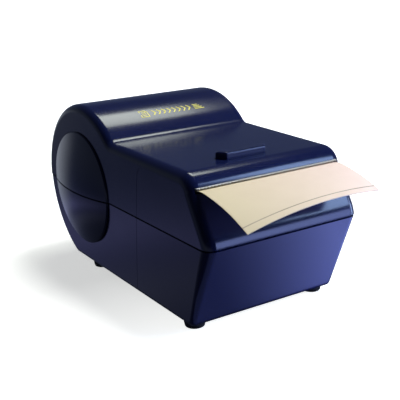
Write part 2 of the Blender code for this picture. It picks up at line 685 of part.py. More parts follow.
def make_wiring():
    """Control board on the battery box, with the motor's two leads."""
    floor = BATTERY_ROOF + GAP
    place("control_board", box((-22, 50, floor), (-20.4, 78, 44)), plastic((0.02, 0.16, 0.07)))
    place("capacitor", rod((68, 34), 3.2, -20.1, -11, 16), plastic((0.03, 0.05, 0.20), 0.3))
    for name, colour, y in (("motor_lead_red", (0.5, 0.02, 0.02), 56.0),
                            ("motor_lead_black", BLACK, 62.0)):
        route = []
        for i in range(13):
            share = i / 12
            x = 2.9 - 22.9 * share
            z = 35 + 5.0 * math.sin(math.pi * share) + 3 * share
            route.append((x, y, z))
        curve = bpy.data.curves.new(name, "CURVE")
        curve.dimensions = "3D"
        curve.bevel_depth = 0.6 * MM
        curve.bevel_resolution = 2
        curve.render_resolution_u = 0
        curve.use_fill_caps = True
        spline = curve.splines.new("POLY")
        spline.points.add(len(route) - 1)
        for point, (x, py, z) in zip(spline.points, route):
            point.co = (x * MM, (py - MIDDLE_Y) * MM, z * MM, 1)
        curve.materials.append(make_material(name, colour))
        bpy.context.scene.collection.objects.link(bpy.data.objects.new(name, curve))


def main():
    for obj in list(bpy.data.objects):
        bpy.data.objects.remove(obj, do_unlink=True)
    make_body()
    make_roll()
    make_paper()
    make_blade()
    make_button()
    make_pinch()
    make_plates()
    make_drive_roller()
    make_gears()
    make_motor()
    make_battery_box()
    make_contacts()
    make_wiring()


main()
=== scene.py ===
"""Looks for the motorised note dispenser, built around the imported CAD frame.

Shapes are made in millimetres (x from the middle, y from the chin to the rear, z from the
table) and put in metres in the frame's own axes.
"""
import json
import math

import bmesh
import bpy
from mathutils import Matrix, Vector

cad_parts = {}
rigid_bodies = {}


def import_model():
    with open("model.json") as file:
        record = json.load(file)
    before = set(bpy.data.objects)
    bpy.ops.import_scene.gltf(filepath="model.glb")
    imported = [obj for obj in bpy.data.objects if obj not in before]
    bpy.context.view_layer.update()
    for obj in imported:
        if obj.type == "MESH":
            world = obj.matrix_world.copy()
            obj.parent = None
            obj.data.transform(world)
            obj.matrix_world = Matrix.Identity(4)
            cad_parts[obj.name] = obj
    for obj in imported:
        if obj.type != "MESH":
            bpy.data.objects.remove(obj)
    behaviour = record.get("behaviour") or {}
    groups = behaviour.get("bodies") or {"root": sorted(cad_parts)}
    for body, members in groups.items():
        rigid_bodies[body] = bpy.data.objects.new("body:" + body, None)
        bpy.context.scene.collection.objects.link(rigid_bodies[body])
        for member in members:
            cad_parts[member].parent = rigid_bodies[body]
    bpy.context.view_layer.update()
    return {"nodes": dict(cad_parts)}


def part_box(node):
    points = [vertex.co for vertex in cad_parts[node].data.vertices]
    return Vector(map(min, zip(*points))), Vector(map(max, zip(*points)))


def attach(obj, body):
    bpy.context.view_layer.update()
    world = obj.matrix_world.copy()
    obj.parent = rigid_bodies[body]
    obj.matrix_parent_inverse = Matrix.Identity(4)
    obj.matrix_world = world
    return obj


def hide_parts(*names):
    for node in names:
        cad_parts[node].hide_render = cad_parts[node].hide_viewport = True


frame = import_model()

MM = 0.001
GAP = 0.3

# The design's dimensions, as in the CAD.
HALF_WIDTH = 42.0
DRUM_Y, DRUM_Z, DRUM_R = 119.9, 43.7, 45.2
LOW_DRUM_R = 44.4
BOTTOM_Z = 3.0
SEAM_Z = 43.6
DECK_Z = 74.6
CREASE_R = 6.5
NOSE_Y, NOSE_Z, NOSE_R = 21.0, 64.4, 9.6
CHIN = [(3.5, 52.8), (2.6, 51.2), (1.7, 49.6), (1.0, 48.1), (0.5, 46.6), (0.15, 45.1), (0.0, SEAM_Z)]
FRONT_LEAN = 0.42
TOE_R = 3.5
BASE_TAPER = 1.4
EDGE_R, LOW_EDGE_R, CORNER_R = 4.2, 2.5, 5.0
WALL = 2.0
CHEEK_Y, CHEEK_Z, CHEEK_R, CHEEK_REAR_STRETCH = 120.2, 44.9, 29.8, 1.12
CHEEK_RIM, CHEEK_RIM_TURN, CHEEK_DOME_POWER = 1.0, 0.78, 2.1
ROLL_Y, ROLL_Z, ROLL_R = 120.2, 44.5, 31.0
CORE_R, CORE_BORE = 14.0, 12.7
NOTE_HALF = 38.1
SPINDLE_R, SPINDLE_HALF = 4.0, 43.6
PAPER = 0.3
HINGE_Y, HINGE_Z = 165.2, 43.6
KNUCKLE_R, HINGE_PIN_R = 1.7, 0.8
LID_KNUCKLE, BASE_KNUCKLE = 8.0, 24.0
FOOT_X, FOOT_Y = 34.2, {"front": 24.4, "rear": 118.0}
DRIVE_Y, DRIVE_Z, DRIVE_R = 36.0, 52.3, 6.5
PINCH_Y, PINCH_Z, PINCH_R = 36.0, 64.4, 4.5
CELL_R, CELL_LENGTH, CELL_PITCH, CELL_Y, CELL_Z = 7.25, 50.5, 15.2, 29.7, 13.0
CONTACT_X = 28.1
BUTTON_X, BUTTON_Y, BUTTON_TOP = -3.2, 28.0, 77.4
BUTTON_HALF_X, BUTTON_HALF_Y, BUTTON_PLAY, BUTTON_FLARE = 10.8, 2.8, 0.4, 3.6
FLANGE_Z, FLANGE_EDGE, FLANGE_T = 70.85, 1.2, 0.9
STRIP = [(34.4, 59.2), (30, 60.5), (24, 62.9), (18, 65.6), (14, 66.6), (11.5, 67.1), (9, 67.3),
         (4, 66.9), (-4, 65.9), (-11, 64.6), (-17, 63.0), (-23.2, 61.0)]
STRIP_SKEW, STRIP_DROOP, STRIP_FREE = 7.0, 3.2, 0.43
# Where along the strip the thin dark strip of painted fold shade lies.
FOLD_SHADE_SPAN = (0.938, 0.946)
SLOT = [(5, 65.9), (14, 65.9), (20, 63.6), (20, 67.2), (15, 68.5), (5, 68.5)]
SLOT_HALF = 39.2
BLADE_HALF, BLADE_FRONT, BLADE_REAR = 38.6, 11.0, 14.8
BLADE_LOW, BLADE_HIGH = 67.7, 68.2
MIDDLE_Y = 71.85

# Print on the drum: the angle of its middle line, and how far it stands out of the shell and sinks in.
EMBLEM_ANGLE, PRINT_LIFT, PRINT_SINK = 117.3, 0.05, 0.02

# Just under the feet, in metres.
FLOOR_Z = -1e-4

# The cheek domes reach exactly as far out as the CAD's.
CHEEK_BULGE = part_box("lid_shell")[1].x / MM - HALF_WIDTH


# ---------------------------------------------------------------- shader helpers
def new_material(name):
    material = bpy.data.materials.new(name)
    material.use_nodes = True
    tree = material.node_tree
    return material, tree, tree.nodes["Principled BSDF"]


def link(tree, source, target):
    tree.links.new(source, target)


def math_node(tree, operation, first, second=None):
    """A Math node on sockets or plain numbers."""
    node = tree.nodes.new("ShaderNodeMath")
    node.operation = operation
    for socket, value in zip(node.inputs, (first, second)):
        if value is None:
            continue
        if isinstance(value, (int, float)):
            socket.default_value = value
        else:
            link(tree, value, socket)
    return node.outputs[0]


def local_position(tree, scale=(1, 1, 1)):
    """Position on the piece, in metres, stretched by a scale."""
    coordinates = tree.nodes.new("ShaderNodeTexCoord")
    mapping = tree.nodes.new("ShaderNodeMapping")
    mapping.inputs["Scale"].default_value = scale
    link(tree, coordinates.outputs["Object"], mapping.inputs["Vector"])
    return mapping.outputs["Vector"]


def separate(tree, vector):
    """The X, Y and Z outputs of a position or direction."""
    node = tree.nodes.new("ShaderNodeSeparateXYZ")
    link(tree, vector, node.inputs["Vector"])
    return node.outputs


def noise(tree, position, scale, detail=3.0):
    node = tree.nodes.new("ShaderNodeTexNoise")
    node.inputs["Scale"].default_value = scale
    node.inputs["Detail"].default_value = detail
    node.inputs["Roughness"].default_value = 0.55
    link(tree, position, node.inputs["Vector"])
    return node.outputs["Fac"]


def spread(tree, value, low, high, start=0.35, stop=0.65):
    """Map a value that runs from start to stop onto low to high."""
    node = tree.nodes.new("ShaderNodeMapRange")
    node.inputs["From Min"].default_value = start
    node.inputs["From Max"].default_value = stop
    node.inputs["To Min"].default_value = low
    node.inputs["To Max"].default_value = high
    link(tree, value, node.inputs["Value"])
    return node.outputs["Result"]


def mix(tree, share, first, second):
    """Mix two colours, each a socket or three numbers."""
    node = tree.nodes.new("ShaderNodeMix")
    node.data_type = "RGBA"
    link(tree, share, node.inputs["Factor"])
    for socket, value in ((node.inputs[6], first), (node.inputs[7], second)):
        if isinstance(value, (tuple, list)):
            socket.default_value = (*value, 1)
        else:
            link(tree, value, socket)
    return node.outputs[2]


def bump(tree, shader, height, distance, strength=1.0):
    node = tree.nodes.new("ShaderNodeBump")
    node.inputs["Strength"].default_value = strength
    node.inputs["Distance"].default_value = distance
    link(tree, height, node.inputs["Height"])
    link(tree, node.outputs["Normal"], shader.inputs["Normal"])


def finish(name, dark, light, rough, metallic=0.0, grain=1800.0, depth=0.00001, stretch=(1, 1, 1)):
    """A moulded, drawn or printed surface: colour drifts in patches, with a fine grain."""
    material, tree, shader = new_material(name)
    position = local_position(tree, stretch)
    patches = noise(tree, position, 60.0)
    fine = noise(tree, position, grain, 2.0)
    link(tree, mix(tree, spread(tree, patches, 0.0, 1.0), dark, light), shader.inputs["Base Color"])
    link(tree, spread(tree, fine, rough[0], rough[1]), shader.inputs["Roughness"])
    shader.inputs["Metallic"].default_value = metallic
    bump(tree, shader, fine, depth)
    return material


def shell_plastic(name, rough):
    """Dark navy moulded plastic: soft gloss, a fine spark-eroded grain and faint handling marks."""
    material, tree, shader = new_material(name)
    position = local_position(tree)
    drift = spread(tree, noise(tree, position, 22.0), 0.0, 1.0, 0.2, 0.8)
    navy = mix(tree, drift, (0.0042, 0.0070, 0.036), (0.0052, 0.0085, 0.043))
    link(tree, navy, shader.inputs["Base Color"])
    grain = noise(tree, position, 2600.0, 2.0)
    haze = noise(tree, position, 70.0, 2.0)
    total = math_node(tree, "ADD", spread(tree, grain, -0.015, 0.015, 0.2, 0.8),
                      spread(tree, haze, rough[0], rough[1], 0.15, 0.85))
    link(tree, total, shader.inputs["Roughness"])
    bump(tree, shader, grain, 0.000006, 0.6)
    return material


def note_paper(name, ends=False):
    """Cream note paper with painted shade: darker and warmer on the left, paler on the right, as the
    light falls from the right; fibres, or the roll's turns.
    """
    material, tree, shader = new_material(name)
    position = local_position(tree)
    split = separate(tree, position)
    side = spread(tree, split["X"], 0.0, 1.0, -NOTE_HALF * MM, NOTE_HALF * MM)
    fibres = noise(tree, local_position(tree, (1, 0.35, 1)), 2200.0, 4.0)
    clouds = noise(tree, position, 90.0, 3.0)
    # Painted shade and painted light: the sheet's left is coloured darker and warmer, its right paler, as
    # if lit from the right.
    shaded_tint = mix(tree, side, (0.62, 0.53, 0.335), (0.79, 0.62, 0.52))
    mottled = mix(tree, spread(tree, clouds, 0.0, 0.10), shaded_tint, (0.52, 0.40, 0.28))
    if ends:
        centre = Vector((0, ROLL_Y - MIDDLE_Y, ROLL_Z)) * MM
        y = math_node(tree, "SUBTRACT", split["Y"], centre.y)
        z = math_node(tree, "SUBTRACT", split["Z"], centre.z)
        square = math_node(tree, "ADD", math_node(tree, "MULTIPLY", y, y),
                           math_node(tree, "MULTIPLY", z, z))
        radius = math_node(tree, "SQRT", square)
        turns = tree.nodes.new("ShaderNodeTexNoise")
        turns.noise_dimensions = "1D"
        turns.inputs["Scale"].default_value = 2600.0
        turns.inputs["Detail"].default_value = 3.0
        link(tree, radius, turns.inputs["W"])
        fibres = turns.outputs["Fac"]
        mottled = mix(tree, spread(tree, fibres, 0.0, 0.45), shaded_tint, (0.50, 0.34, 0.22))
    link(tree, mottled, shader.inputs["Base Color"])
    link(tree, spread(tree, fibres, 0.72, 0.92), shader.inputs["Roughness"])
    shader.inputs["Specular IOR Level"].default_value = 0.25
    bump(tree, shader, fibres, 0.00003 if ends else 0.000012, 0.5)
    return material


def banded_wrap(name):
    """Shrink wrap of a cell: dark green with copper ends."""
    material, tree, shader = new_material(name)
    position = local_position(tree)
    split = separate(tree, position)
    wear = noise(tree, position, 500.0, 3.0)
    end = math_node(tree, "GREATER_THAN", math_node(tree, "ABSOLUTE", split["X"]), 15 * MM)
    body = mix(tree, spread(tree, wear, 0.0, 1.0), (0.02, 0.07, 0.045), (0.03, 0.10, 0.06))
    link(tree, mix(tree, end, body, (0.50, 0.27, 0.11)), shader.inputs["Base Color"])
    link(tree, spread(tree, wear, 0.25, 0.4), shader.inputs["Roughness"])
    bump(tree, shader, wear, 0.00001, 0.4)
    return material


def circuit_board(name):
    """Green board with lighter copper tracks under the lacquer."""
    material, tree, shader = new_material(name)
    position = local_position(tree)
    tracks = tree.nodes.new("ShaderNodeTexVoronoi")
    tracks.distance = "MANHATTAN"
    tracks.inputs["Scale"].default_value = 420.0
    link(tree, position, tracks.inputs["Vector"])
    share = spread(tree, tracks.outputs["Distance"], 1.0, 0.0, 0.25, 0.32)
    link(tree, mix(tree, share, (0.008, 0.075, 0.03), (0.03, 0.17, 0.07)), shader.inputs["Base Color"])
    shader.inputs["Roughness"].default_value = 0.3
    bump(tree, shader, share, 0.00002, 0.6)
    return material


LOOKS = {
    "shell": shell_plastic("navy_shell", (0.15, 0.19)),
    "button": shell_plastic("navy_button", (0.17, 0.22)),
    "rubber": finish("rubber", (0.010, 0.010, 0.011), (0.018, 0.018, 0.020), (0.65, 0.85),
                     depth=0.00003),
    "note_paper": note_paper("note_paper_sheet"),
    "core_board": finish("core_board", (0.28, 0.18, 0.10), (0.38, 0.26, 0.16), (0.8, 0.95), grain=900.0,
                         stretch=(0.3, 1, 1), depth=0.00003),
    "steel": finish("sheet_steel", (0.48, 0.49, 0.51), (0.60, 0.60, 0.62), (0.22, 0.38), 1.0,
                    stretch=(0.08, 1, 1)),
    "screw_steel": finish("screw_steel", (0.20, 0.20, 0.22), (0.30, 0.30, 0.32), (0.25, 0.4), 1.0),
    "contact_metal": finish("nickel", (0.58, 0.55, 0.50), (0.68, 0.65, 0.60), (0.18, 0.30), 1.0),
    "brass": finish("brass", (0.60, 0.40, 0.15), (0.72, 0.52, 0.22), (0.22, 0.35), 1.0),
    "white_plastic": finish("white_plastic", (0.68, 0.67, 0.62), (0.74, 0.73, 0.68), (0.32, 0.45)),
    "black_plastic": finish("black_plastic", (0.012, 0.012, 0.014), (0.020, 0.020, 0.023), (0.35, 0.5)),
    "red_plastic": finish("red_plastic", (0.45, 0.025, 0.02), (0.55, 0.04, 0.03), (0.3, 0.42)),
    "cell_wrap": banded_wrap("cell_wrap"),
    "circuit_board": circuit_board("circuit_board"),
    "capacitor_sleeve": finish("capacitor_sleeve", (0.015, 0.03, 0.14), (0.025, 0.045, 0.19),
                               (0.2, 0.3)),
    "red_lead": finish("red_lead", (0.42, 0.015, 0.015), (0.52, 0.025, 0.02), (0.4, 0.55)),
    "black_lead": finish("black_lead", (0.010, 0.010, 0.012), (0.02, 0.02, 0.022), (0.4, 0.55)),
}
ROLL_ENDS = note_paper("note_paper_layers", True)
# Painted shade: dark tan for a thin strip on the paper that stands for the shade of a fold near its end.
FOLD_SHADE = finish("painted_fold_shade", (0.30, 0.25, 0.17), (0.40, 0.33, 0.24), (0.8, 0.95), stretch=(1, 0.3, 1))
GOLD = finish("gold_print", (0.56, 0.49, 0.05), (0.74, 0.64, 0.09), (0.35, 0.5), grain=4000.0)


# ---------------------------------------------------------------- shapes
def arc(centre_y, centre_z, radius, start, end, steps):
    """Points on an arc in the side view, angles in degrees from the rear towards the top."""
    points = []
    for i in range(steps + 1):
        angle = math.radians(start + (end - start) * i / steps)
        points.append((centre_y + radius * math.cos(angle), centre_z + radius * math.sin(angle)))
    return points


def loft(rings, closed=False):
    """Join equal rings of points in order; the last ring joins the first, or both ends are capped."""
    bm = bmesh.new()
    loops = [[bm.verts.new(point) for point in ring] for ring in rings]
    count = len(rings[0])
    following = loops[1:] + loops[:1] if closed else loops[1:]
    for first, second in zip(loops, following):
        for i in range(count):
            j = (i + 1) % count
            bm.faces.new((first[i], first[j], second[j], second[i]))
    if not closed:
        bm.faces.new(loops[0])
        bm.faces.new(loops[-1])
    return bm


def prism(outline, low_x, high_x):
    return loft([[(x, y, z) for y, z in outline] for x in (low_x, high_x)])


def block(low, high):
    bm = bmesh.new()
    bmesh.ops.create_cube(bm, size=1)
    size = Vector(high) - Vector(low)
    bmesh.ops.scale(bm, vec=size, verts=bm.verts)
    bmesh.ops.translate(bm, vec=(Vector(low) + Vector(high)) / 2, verts=bm.verts)
    return bm


def turned(centre, profile, sides=64, closed=False):
    """Turn a profile of (x, radius) about the X axis; a closed profile makes a tube."""
    rings = []
    for x, radius in profile:
        ring = arc(*centre, radius, 0, 360 - 360 / sides, sides - 1)
        rings.append([(x, y, z) for y, z in ring])
    return loft(rings, closed)


def rod(centre, radius, low_x, high_x, sides=40, edge=0.0):
    """A round bar along X, its ends rounded off by an edge radius."""
    if not edge:
        return turned(centre, [(low_x, radius), (high_x, radius)], sides)
    ends = [(low_x, radius - edge), (low_x + 0.3 * edge, radius - 0.3 * edge), (low_x + edge, radius)]
    other = [(low_x + high_x - x, r) for x, r in reversed(ends)]
    return turned(centre, ends + other, sides)


def tube(centre, outer, inner, low_x, high_x, sides=64, edge=0.3):
    """A tube along X with eased rims."""
    profile = [(low_x + edge, outer), (high_x - edge, outer), (high_x - 0.3 * edge, outer - 0.3 * edge),
               (high_x, outer - edge), (high_x, inner + edge), (high_x - edge, inner),
               (low_x + edge, inner), (low_x, inner + edge), (low_x, outer - edge),
               (low_x + 0.3 * edge, outer - 0.3 * edge)]
    return turned(centre, profile, sides, True)


# ---------------------------------------------------------------- objects
def make_object(name, bm, look=None, angle=30):
    """A mesh in millimetres becomes an object in metres at the frame's origin."""
    bmesh.ops.recalc_face_normals(bm, faces=bm.faces)
    bmesh.ops.translate(bm, vec=(0, -MIDDLE_Y, 0), verts=bm.verts)
    bmesh.ops.scale(bm, vec=(MM, MM, MM), verts=bm.verts)
    mesh = bpy.data.meshes.new(name)
    bm.to_mesh(mesh)
    bm.free()
    mesh.shade_smooth()
    mesh.set_sharp_from_angle(angle=math.radians(angle))
    obj = bpy.data.objects.new(name, mesh)
    bpy.context.scene.collection.objects.link(obj)
    if look:
        mesh.materials.append(look)
    return obj


def settle(obj):
    """Apply an object's Boolean steps, clear its modifiers, and even out its normals."""
    bpy.context.view_layer.update()
    graph = bpy.context.evaluated_depsgraph_get()
    mesh = bpy.data.meshes.new_from_object(obj.evaluated_get(graph))
    obj.modifiers.clear()
    obj.data = mesh
    bm = bmesh.new()
    bm.from_mesh(mesh)
    bmesh.ops.remove_doubles(bm, verts=bm.verts, dist=2e-7)
    bmesh.ops.dissolve_degenerate(bm, edges=bm.edges, dist=1e-7)
    bm.to_mesh(mesh)
    bm.free()
    mesh.shade_smooth()
    mesh.set_sharp_from_angle(angle=math.radians(30))
    even_normals(obj)


def even_normals(obj):
    """Shade by face area, so that a wide face next to a rounded edge stays flat."""
    step = obj.modifiers.new("even_normals", "WEIGHTED_NORMAL")
    step.keep_sharp = True
    step.weight = 100
    step.mode = "FACE_AREA"


def ease_edges(obj, width):
    """Round an object's sharp edges a little."""
    step = obj.modifiers.new("eased_edges", "BEVEL")
    step.width = width * MM
    step.segments = 2
    step.limit_method = "ANGLE"
    step.angle_limit = math.radians(40)
    step.use_clamp_overlap = True
    even_normals(obj)


def helper(bm):
    """An object that only cuts or adds to others, and is dropped afterwards."""
    obj = make_object("helper", bm)
    obj.hide_render = True
    return obj


def combine(obj, operation, *others):
    for other in others:
        step = obj.modifiers.new("step", "BOOLEAN")
        step.operation = operation
        step.solver = "EXACT"
        step.object = other


def drop_helpers():
    for obj in list(bpy.data.objects):
        if obj.name.startswith("helper"):
            bpy.data.objects.remove(obj, do_unlink=True)


def stand_for(piece, body, slot, *nodes):
    """The piece rides on a body and replaces CAD nodes; its slot is not used."""
    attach(piece, body)
    if nodes:
        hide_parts(*nodes)
    return piece


# ---------------------------------------------------------------- body shells
def edge_radius(z):
    """Radius of the long side edges: full above the seam, smaller towards the bottom."""
    share = min(1.0, (z - BOTTOM_Z) / (SEAM_Z - BOTTOM_Z))
    return LOW_EDGE_R + (EDGE_R - LOW_EDGE_R) * share


def body_outline(drum_r):
    """Side view of the body as (y, z, edge radius), anticlockwise from the bottom of the drum."""
    low = -math.degrees(math.asin((DRUM_Z - BOTTOM_Z) / drum_r))
    rise = DECK_Z + CREASE_R - DRUM_Z
    reach = math.sqrt((drum_r + CREASE_R) ** 2 - rise ** 2)
    crease = 180 - math.degrees(math.atan2(rise, reach))
    lean = math.degrees(math.atan(FRONT_LEAN))
    toe_z = BOTTOM_Z + TOE_R
    toe_y = FRONT_LEAN * (SEAM_Z - toe_z) + TOE_R / math.cos(math.radians(lean))
    seam = -math.degrees(math.asin((DRUM_Z - SEAM_Z) / drum_r))
    rear = arc(DRUM_Y, DRUM_Z, drum_r, low, seam, 22)
    rear += arc(DRUM_Y, DRUM_Z, drum_r, seam, crease, 54)[1:]
    rear += arc(DRUM_Y - reach, DECK_Z + CREASE_R, CREASE_R, crease - 180, -90, 12)[1:]
    front = arc(NOSE_Y, NOSE_Z, NOSE_R, 90, 165, 16) + CHIN
    toe = arc(toe_y, toe_z, TOE_R, 180 + lean, 270, 8)
    outline = [(y, z, edge_radius(z)) for y, z in rear]
    outline += [(y, z, CORNER_R) for y, z in front]
    outline += [(y, z, LOW_EDGE_R) for y, z in toe]
    return outline


def inset(outline, depths):
    """Move each corner of an anticlockwise outline inwards by its own depth."""
    count = len(outline)
    moved = []
    for i in range(count):
        here = Vector(outline[i][:2])
        before = (here - Vector(outline[i - 1][:2])).normalized()
        after = (Vector(outline[(i + 1) % count][:2]) - here).normalized()
        normal = Vector((-before.y, before.x))
        middle = (normal + Vector((-after.y, after.x))).normalized()
        moved.append(here + middle * depths[i] / middle.dot(normal))
    return moved


def body_solid(drum_r, wall, steps):
    """The body as one rounded solid, moved inwards by the wall's thickness."""
    outline = body_outline(drum_r)
    shape = inset(outline, [wall] * len(outline))
    radii = [max(point[2] - wall, 0.5) for point in outline]
    half = HALF_WIDTH - wall
    rings = []
    for step in range(steps + 1):
        angle = math.pi / 2 * step / steps
        edge = inset(shape, [radius * (1 - math.cos(angle)) for radius in radii])
        ring = []
        for (y, z), radius in zip(edge, radii):
            x = half - radius * (1 - math.sin(angle))
            below = max(0.0, SEAM_Z - z) / (SEAM_Z - BOTTOM_Z)
            ring.append((x - BASE_TAPER * below, y, z))
        rings.append(ring)
    left = [[(-x, y, z) for x, y, z in ring] for ring in reversed(rings)]
    solid = loft(left + rings)
    solid.faces.ensure_lookup_table()
    for side in solid.faces[-2:]:
        at_seam = sorted(side.verts, key=lambda vert: abs(vert.co.z - SEAM_Z))[:2]
        bmesh.utils.face_split(side, at_seam[0], at_seam[1])
    return solid


def cheek(side, less=0.0):
    """Round cheek: a short rounded rim and a shallow dome, made smaller all over by some depth."""
    profile = [(side * (HALF_WIDTH - 2.5), CHEEK_R - less)]
    for i in range(9):
        angle = math.pi / 2 * i / 8 * CHEEK_RIM_TURN
        profile.append((side * (HALF_WIDTH + CHEEK_RIM * math.sin(angle) - less),
                        CHEEK_R - less - CHEEK_RIM * (1 - math.cos(angle))))
    start_x, start_r = profile[-1]
    rise = HALF_WIDTH + CHEEK_BULGE - less - abs(start_x)
    for i in range(1, 19):
        share = 1 - i / 19
        profile.append((side * (abs(start_x) + rise * (1 - share ** CHEEK_DOME_POWER)), start_r * share))
    profile[-1] = (side * (HALF_WIDTH + CHEEK_BULGE - less), 0.4)
    return to_rear(turned((CHEEK_Y, CHEEK_Z), profile, 96))


def to_rear(bm):
    """The cheeks are a little longer to the rear than a circle."""
    for vert in bm.verts:
        if vert.co.y > CHEEK_Y:
            vert.co.y = CHEEK_Y + (vert.co.y - CHEEK_Y) * CHEEK_REAR_STRETCH
    return bm


def half_space(upper):
    if upper:
        return block((-60, -10, SEAM_Z - GAP / 2), (60, 180, 100))
    return block((-60, -10, -10), (60, 180, SEAM_Z + GAP / 2))


def hinge_rod(radius, low, high):
    return rod((HINGE_Y, HINGE_Z), radius, low, high, 32)


def seam_reveal():
    """Ring that sets the shells' edges back along the seam, so that it reads as a fine dark line."""
    depth, half = 0.45, 0.42
    core = helper(body_solid(DRUM_R, depth, 8))
    combine(core, "UNION", helper(cheek(-1, depth)), helper(cheek(1, depth)))
    ring = helper(block((-60, -10, SEAM_Z - half), (60, HINGE_Y - 1.9, SEAM_Z + half)))
    combine(ring, "DIFFERENCE", core)
    return ring


def cheek_grooves():
    """Fine groove round each cheek."""
    rings = []
    for side in (-1, 1):
        low, high = sorted((side * (HALF_WIDTH - 0.35), side * (HALF_WIDTH + 3)))
        profile = [(low, CHEEK_R + 0.35), (high, CHEEK_R + 0.35), (high, CHEEK_R), (low, CHEEK_R)]
        rings.append(helper(to_rear(turned((CHEEK_Y, CHEEK_Z), profile, 96, True))))
    return rings


def panel_line(side):
    """Thin upright groove in the side, curving forward at the top."""
    route = [(50.5, 70.0), (53.6, 69.5), (55.8, 68.4), (57.2, 66.7), (58.0, 64.4), (58.6, 61),
             (60.9, 43.6), (64.2, 22), (66.9, 2)]
    half, depth = 0.13, 0.16
    line = []
    for i, (y, z) in enumerate(route):
        before = Vector(route[max(i - 1, 0)])
        after = Vector(route[min(i + 1, len(route) - 1)])
        heading = (after - before).normalized()
        line.append((Vector((y, z)), Vector((-heading.y, heading.x)) * half))
    outline = [p + n for p, n in line] + [p - n for p, n in reversed(line)]
    rings = []
    for out in (-depth, 3.0):
        ring = []
        for y, z in outline:
            below = max(0.0, SEAM_Z - z) / (SEAM_Z - BOTTOM_Z)
            ring.append((side * (HALF_WIDTH + out - BASE_TAPER * below), y, z))
        rings.append(ring)
    return helper(loft(rings))


def make_upper_case(cuts):
    case = make_object("upper_case", body_solid(DRUM_R, 0, 8), LOOKS["shell"])
    combine(case, "UNION", helper(cheek(-1)), helper(cheek(1)))
    combine(case, "DIFFERENCE", *cuts)
    combine(case, "DIFFERENCE", helper(half_space(False)), helper(body_solid(DRUM_R, WALL, 3)))
    combine(case, "DIFFERENCE", helper(prism(SLOT[::-1], -SLOT_HALF, SLOT_HALF)))
    rings = [[(x, y, z) for x, y in bar_outline(BUTTON_PLAY, 1.2)] for z in (DECK_Z - 8, DECK_Z + 5)]
    combine(case, "DIFFERENCE", helper(loft(rings)))
    combine(case, "DIFFERENCE", helper(rod((ROLL_Y, ROLL_Z), 6, -44.5, 44.5)))
    for side in (-1, 1):
        start, end = sorted((side * (LID_KNUCKLE - 0.1), side * (BASE_KNUCKLE + 0.4)))
        combine(case, "DIFFERENCE", helper(hinge_rod(KNUCKLE_R + 0.4, start, end)))
    combine(case, "UNION", helper(hinge_rod(KNUCKLE_R, -LID_KNUCKLE, LID_KNUCKLE)))
    combine(case, "DIFFERENCE", helper(hinge_rod(HINGE_PIN_R + 0.15, -12, 12)))
    settle(case)
    return stand_for(case, "lid", "shell", "lid_shell")


def make_lower_case(cuts):
    case = make_object("lower_case", body_solid(LOW_DRUM_R, 0, 8), LOOKS["shell"])
    combine(case, "UNION", helper(cheek(-1)), helper(cheek(1)))
    combine(case, "DIFFERENCE", *cuts)
    combine(case, "DIFFERENCE", helper(half_space(True)), helper(body_solid(LOW_DRUM_R, WALL, 3)))
    combine(case, "DIFFERENCE", helper(rod((ROLL_Y, ROLL_Z), SPINDLE_R + 0.3, -44.2, 44.2)))
    combine(case, "DIFFERENCE", helper(block((-28.6, 22.0, 0), (28.6, 83.0, 6))))
    middle = LID_KNUCKLE + 0.3
    combine(case, "DIFFERENCE", helper(hinge_rod(KNUCKLE_R + 0.4, -middle, middle)))
    for side in (-1, 1):
        low, high = sorted((side * (middle + 0.1), side * BASE_KNUCKLE))
        combine(case, "UNION", helper(hinge_rod(KNUCKLE_R, low, high)))
    combine(case, "DIFFERENCE", helper(hinge_rod(HINGE_PIN_R + 0.15, -22.5, 22.5)))
    settle(case)
    return stand_for(case, "base", "shell", "base_shell")


def bar_outline(grow, radius, steps=5):
    """Plan of the push bar, which flares to the rear, moved outwards and with rounded corners."""
    flare = math.atan(BUTTON_FLARE / (2 * BUTTON_HALF_Y))
    side = grow / math.cos(flare)
    lean = grow * math.tan(flare)
    front = BUTTON_HALF_X + side - lean
    rear = BUTTON_HALF_X + BUTTON_FLARE + side + lean
    half_y = BUTTON_HALF_Y + grow
    corners = [Vector(c) for c in ((-front, -half_y), (front, -half_y), (rear, half_y), (-rear, half_y))]
    points = []
    for i, corner in enumerate(corners):
        back = (corners[i - 1] - corner).normalized()
        ahead = (corners[(i + 1) % 4] - corner).normalized()
        half = back.angle(ahead) / 2
        centre = corner + (back + ahead).normalized() * radius / math.sin(half)
        start = corner + back * radius / math.tan(half)
        end = corner + ahead * radius / math.tan(half)
        for k in range(steps + 1):
            spoke = (start - centre).slerp(end - centre, k / steps)
            points.append((BUTTON_X + centre.x + spoke.x, BUTTON_Y + centre.y + spoke.y))
    return points


# ---------------------------------------------------------------- emblem
def drum_patch(points):
    """A thin printed shape on the drum from corners (x, distance up the drum)."""
    bm = bmesh.new()
    layers = []
    for out in (PRINT_LIFT, -PRINT_SINK):
        layer = []
        for x, up in points:
            angle = math.radians(EMBLEM_ANGLE) - up / DRUM_R
            y = DRUM_Y + (DRUM_R + out) * math.cos(angle)
            z = DRUM_Z + (DRUM_R + out) * math.sin(angle)
            layer.append(bm.verts.new((x, y, z)))
        layers.append(layer)
    count = len(points)
    bm.faces.new(layers[0])
    bm.faces.new(layers[1][::-1])
    for i in range(count):
        j = (i + 1) % count
        bm.faces.new((layers[0][i], layers[1][i], layers[1][j], layers[0][j]))
    return bm


def rectangle(left, low, right, high):
    return [(left, low), (right, low), (right, high), (left, high)]


